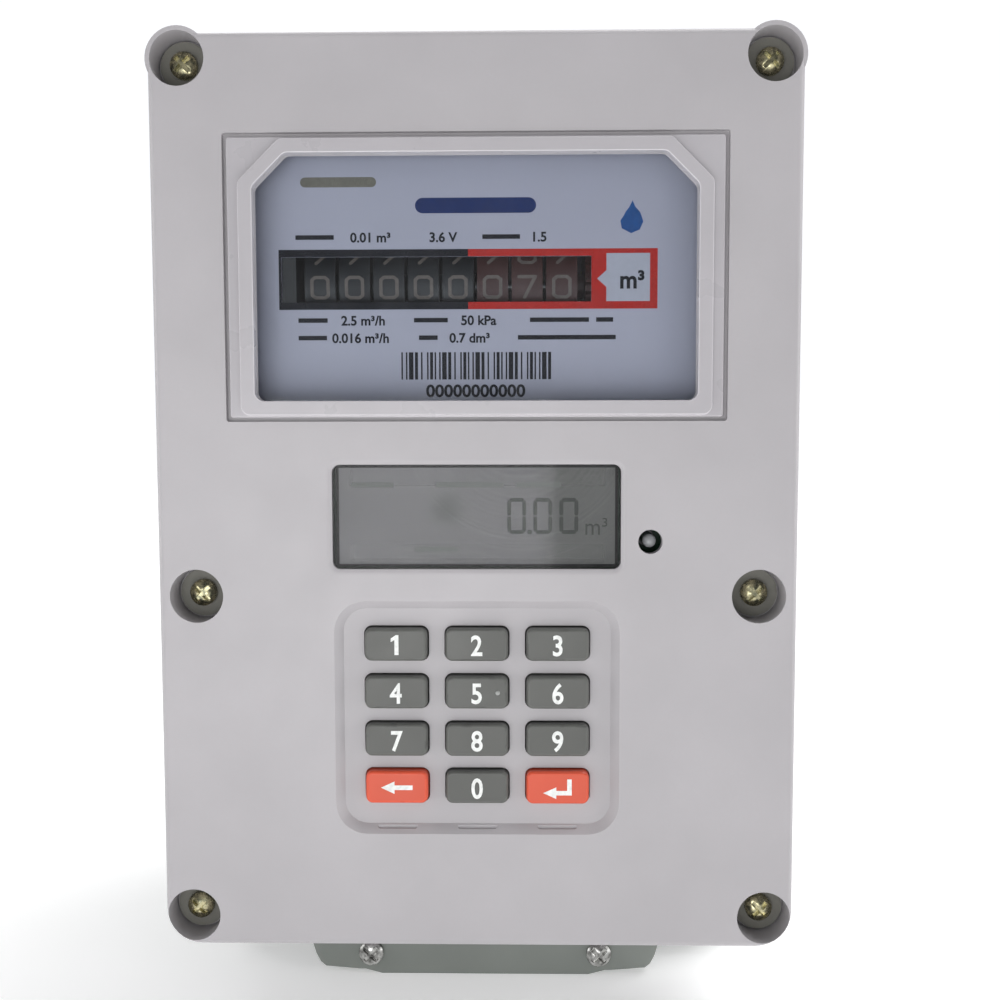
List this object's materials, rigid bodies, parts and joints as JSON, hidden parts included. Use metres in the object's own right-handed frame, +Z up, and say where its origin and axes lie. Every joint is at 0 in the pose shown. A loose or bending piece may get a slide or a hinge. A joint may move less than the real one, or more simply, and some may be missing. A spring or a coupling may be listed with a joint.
{
  "type": "prepaid gas meter",
  "caption": "Keypad prepayment gas meter: grey control head with number drums, display and keys on a diaphragm meter case with two threaded pipe connections.",
  "frame": {"origin": "on the ground, under the middle of the meter's outer box", "axes": "+Z up, front with the keypad towards -Y, +X to the right as the keypad is read"},
  "size_m": [0.16, 0.1474, 0.235],
  "materials": {
    "abs_grey": "fine moulded texture",
    "clear_window": "clear polycarbonate",
    "smoked_window": "smoked acrylic",
    "zinc_screw": "yellow zinc",
    "bright_screw": "nickel plate",
    "black_rubber": "matt",
    "label_print": "printed sheet",
    "white_plastic": "moulded",
    "black_drum": "moulded",
    "red_drum": "moulded",
    "steel": "turned",
    "gear_plastic": "acetal",
    "board_green": "solder mask",
    "black_part": "moulded",
    "display": "liquid crystal",
    "grey_key": "silicone",
    "orange_key": "silicone",
    "battery_wrap": "shrink sleeve",
    "bracket_paint": "grey paint",
    "case_paint": "grey enamel",
    "zinc_casting": "machined",
    "diaphragm_skin": "coated cloth",
    "brass": "machined"
  },
  "bodies": {
    "meter": {"front_cover": "abs_grey", "register_frame": "abs_grey", "register_window": "clear_window", "lcd_window": "smoked_window", "status_led": "smoked_window", "cover_gasket": "black_rubber", "head_base": "abs_grey", "cover_screws": "zinc_screw", "screw_seals": "black_rubber", "nameplate": "label_print", "index_frame": "black_part", "drum_shaft": "steel", "carry_pinions": "white_plastic", "main_board": "board_green", "board_parts": "black_part", "lcd_panel": "display", "key_mat": "black_rubber", "battery_cell": "battery_wrap", "battery_holder": "black_part", "sounder": "black_part", "board_screws": "steel", "mounting_bracket": "bracket_paint", "bracket_screws": "bright_screw", "head_screws": "steel", "case_lower": "case_paint", "case_upper": "case_paint", "case_gasket": "black_rubber", "case_screws": "bright_screw", "pipe_spigots": "zinc_casting", "spigot_seals": "black_rubber", "shutoff_valve": "black_part", "chamber_body": "white_plastic"},
    "drum_1": {"drum_1": "black_drum"},
    "drum_2": {"drum_2": "black_drum"},
    "drum_3": {"drum_3": "black_drum"},
    "drum_4": {"drum_4": "black_drum"},
    "drum_5": {"drum_5": "black_drum"},
    "drum_6": {"drum_6": "red_drum"},
    "drum_7": {"drum_7": "red_drum"},
    "drum_8": {"drum_8": "red_drum"},
    "key_1": {"key_1": "grey_key"},
    "key_2": {"key_2": "grey_key"},
    "key_3": {"key_3": "grey_key"},
    "key_4": {"key_4": "grey_key"},
    "key_5": {"key_5": "grey_key"},
    "key_6": {"key_6": "grey_key"},
    "key_7": {"key_7": "grey_key"},
    "key_8": {"key_8": "grey_key"},
    "key_9": {"key_9": "grey_key"},
    "key_back": {"key_back": "orange_key"},
    "key_0": {"key_0": "grey_key"},
    "key_enter": {"key_enter": "orange_key"},
    "index_gear": {"index_gear": "gear_plastic"},
    "valve_plunger": {"valve_plunger": "steel"},
    "diaphragm_front": {"diaphragm_front": "diaphragm_skin"},
    "diaphragm_back": {"diaphragm_back": "diaphragm_skin"},
    "flag_front": {"flag_front": "steel"},
    "flag_back": {"flag_back": "steel"},
    "rotary_valve": {"rotary_valve": "brass"},
    "drive_shaft": {"drive_shaft": "steel"}
  },
  "joints": [
    {"name": "key_1_press", "type": "slide", "parent": "meter", "child": "key_1", "axis": [0, 1, 0], "range_m": [0, 0.0012], "stiffness_N_per_m": 400, "springref_m": -0.0004},
    {"name": "key_2_press", "type": "slide", "parent": "meter", "child": "key_2", "axis": [0, 1, 0], "range_m": [0, 0.0012], "stiffness_N_per_m": 400, "springref_m": -0.0004},
    {"name": "key_3_press", "type": "slide", "parent": "meter", "child": "key_3", "axis": [0, 1, 0], "range_m": [0, 0.0012], "stiffness_N_per_m": 400, "springref_m": -0.0004},
    {"name": "key_4_press", "type": "slide", "parent": "meter", "child": "key_4", "axis": [0, 1, 0], "range_m": [0, 0.0012], "stiffness_N_per_m": 400, "springref_m": -0.0004},
    {"name": "key_5_press", "type": "slide", "parent": "meter", "child": "key_5", "axis": [0, 1, 0], "range_m": [0, 0.0012], "stiffness_N_per_m": 400, "springref_m": -0.0004},
    {"name": "key_6_press", "type": "slide", "parent": "meter", "child": "key_6", "axis": [0, 1, 0], "range_m": [0, 0.0012], "stiffness_N_per_m": 400, "springref_m": -0.0004},
    {"name": "key_7_press", "type": "slide", "parent": "meter", "child": "key_7", "axis": [0, 1, 0], "range_m": [0, 0.0012], "stiffness_N_per_m": 400, "springref_m": -0.0004},
    {"name": "key_8_press", "type": "slide", "parent": "meter", "child": "key_8", "axis": [0, 1, 0], "range_m": [0, 0.0012], "stiffness_N_per_m": 400, "springref_m": -0.0004},
    {"name": "key_9_press", "type": "slide", "parent": "meter", "child": "key_9", "axis": [0, 1, 0], "range_m": [0, 0.0012], "stiffness_N_per_m": 400, "springref_m": -0.0004},
    {"name": "key_back_press", "type": "slide", "parent": "meter", "child": "key_back", "axis": [0, 1, 0], "range_m": [0, 0.0012], "stiffness_N_per_m": 400, "springref_m": -0.0004},
    {"name": "key_0_press", "type": "slide", "parent": "meter", "child": "key_0", "axis": [0, 1, 0], "range_m": [0, 0.0012], "stiffness_N_per_m": 400, "springref_m": -0.0004},
    {"name": "key_enter_press", "type": "slide", "parent": "meter", "child": "key_enter", "axis": [0, 1, 0], "range_m": [0, 0.0012], "stiffness_N_per_m": 400, "springref_m": -0.0004},
    {"name": "valve_turn", "type": "hinge", "parent": "meter", "child": "rotary_valve", "pos_m": [0.0373, 0.01325, 0.17375], "axis": [0, 0, 1], "continuous": true},
    {"name": "drive_turn", "type": "hinge", "parent": "meter", "child": "drive_shaft", "pos_m": [0.0373, -0.01125, 0.17965], "axis": [0, -1, 0], "continuous": true},
    {"name": "index_turn", "type": "hinge", "parent": "meter", "child": "index_gear", "pos_m": [0.0373, -0.03825, 0.17965], "axis": [0, -1, 0], "continuous": true},
    {"name": "drum_8_turn", "type": "hinge", "parent": "meter", "child": "drum_8", "pos_m": [0.019, -0.04825, 0.17965], "axis": [-1, 0, 0], "continuous": true},
    {"name": "drum_7_turn", "type": "hinge", "parent": "meter", "child": "drum_7", "pos_m": [0.0112, -0.04825, 0.17965], "axis": [-1, 0, 0], "continuous": true},
    {"name": "drum_6_turn", "type": "hinge", "parent": "meter", "child": "drum_6", "pos_m": [0.0034, -0.04825, 0.17965], "axis": [-1, 0, 0], "continuous": true},
    {"name": "drum_5_turn", "type": "hinge", "parent": "meter", "child": "drum_5", "pos_m": [-0.0044, -0.04825, 0.17965], "axis": [-1, 0, 0], "continuous": true},
    {"name": "drum_4_turn", "type": "hinge", "parent": "meter", "child": "drum_4", "pos_m": [-0.0122, -0.04825, 0.17965], "axis": [-1, 0, 0], "continuous": true},
    {"name": "drum_3_turn", "type": "hinge", "parent": "meter", "child": "drum_3", "pos_m": [-0.02, -0.04825, 0.17965], "axis": [-1, 0, 0], "continuous": true},
    {"name": "drum_2_turn", "type": "hinge", "parent": "meter", "child": "drum_2", "pos_m": [-0.0278, -0.04825, 0.17965], "axis": [-1, 0, 0], "continuous": true},
    {"name": "drum_1_turn", "type": "hinge", "parent": "meter", "child": "drum_1", "pos_m": [-0.0356, -0.04825, 0.17965], "axis": [-1, 0, 0], "continuous": true},
    {"name": "diaphragm_front_slide", "type": "slide", "parent": "meter", "child": "diaphragm_front", "axis": [0, 1, 0], "range_m": [-0.005, 0.005]},
    {"name": "flag_front_swing", "type": "hinge", "parent": "meter", "child": "flag_front", "pos_m": [-0.055, 0.00475, 0.06], "axis": [0, 0, 1], "range_deg": [-5.25, 5.25]},
    {"name": "diaphragm_back_slide", "type": "slide", "parent": "meter", "child": "diaphragm_back", "axis": [0, -1, 0], "range_m": [-0.005, 0.005]},
    {"name": "flag_back_swing", "type": "hinge", "parent": "meter", "child": "flag_back", "pos_m": [0.055, 0.04675, 0.06], "axis": [0, 0, 1], "range_deg": [-5.25, 5.25]},
    {"name": "valve_close", "type": "slide", "parent": "meter", "child": "valve_plunger", "axis": [0, 0, 1], "range_m": [0, 0.0115]}
  ],
  "couplings": [
    {"joint": "drive_turn", "follows": "valve_turn", "ratio": 3},
    {"joint": "index_turn", "follows": "valve_turn", "ratio": 3},
    {"joint": "drum_8_turn", "follows": "valve_turn", "ratio": 3.6},
    {"joint": "drum_7_turn", "follows": "valve_turn", "ratio": 0.36},
    {"joint": "drum_6_turn", "follows": "valve_turn", "ratio": 0.036},
    {"joint": "drum_5_turn", "follows": "valve_turn", "ratio": 0.0036},
    {"joint": "drum_4_turn", "follows": "valve_turn", "ratio": 0.00036},
    {"joint": "drum_3_turn", "follows": "valve_turn", "ratio": 0.000036},
    {"joint": "drum_2_turn", "follows": "valve_turn", "ratio": 0.0000036},
    {"joint": "drum_1_turn", "follows": "valve_turn", "ratio": 0.00000036},
    {"joint": "flag_front_swing", "follows": "diaphragm_front_slide", "rad_per_m": 18.182},
    {"joint": "flag_back_swing", "follows": "diaphragm_back_slide", "rad_per_m": 18.182}
  ]
}
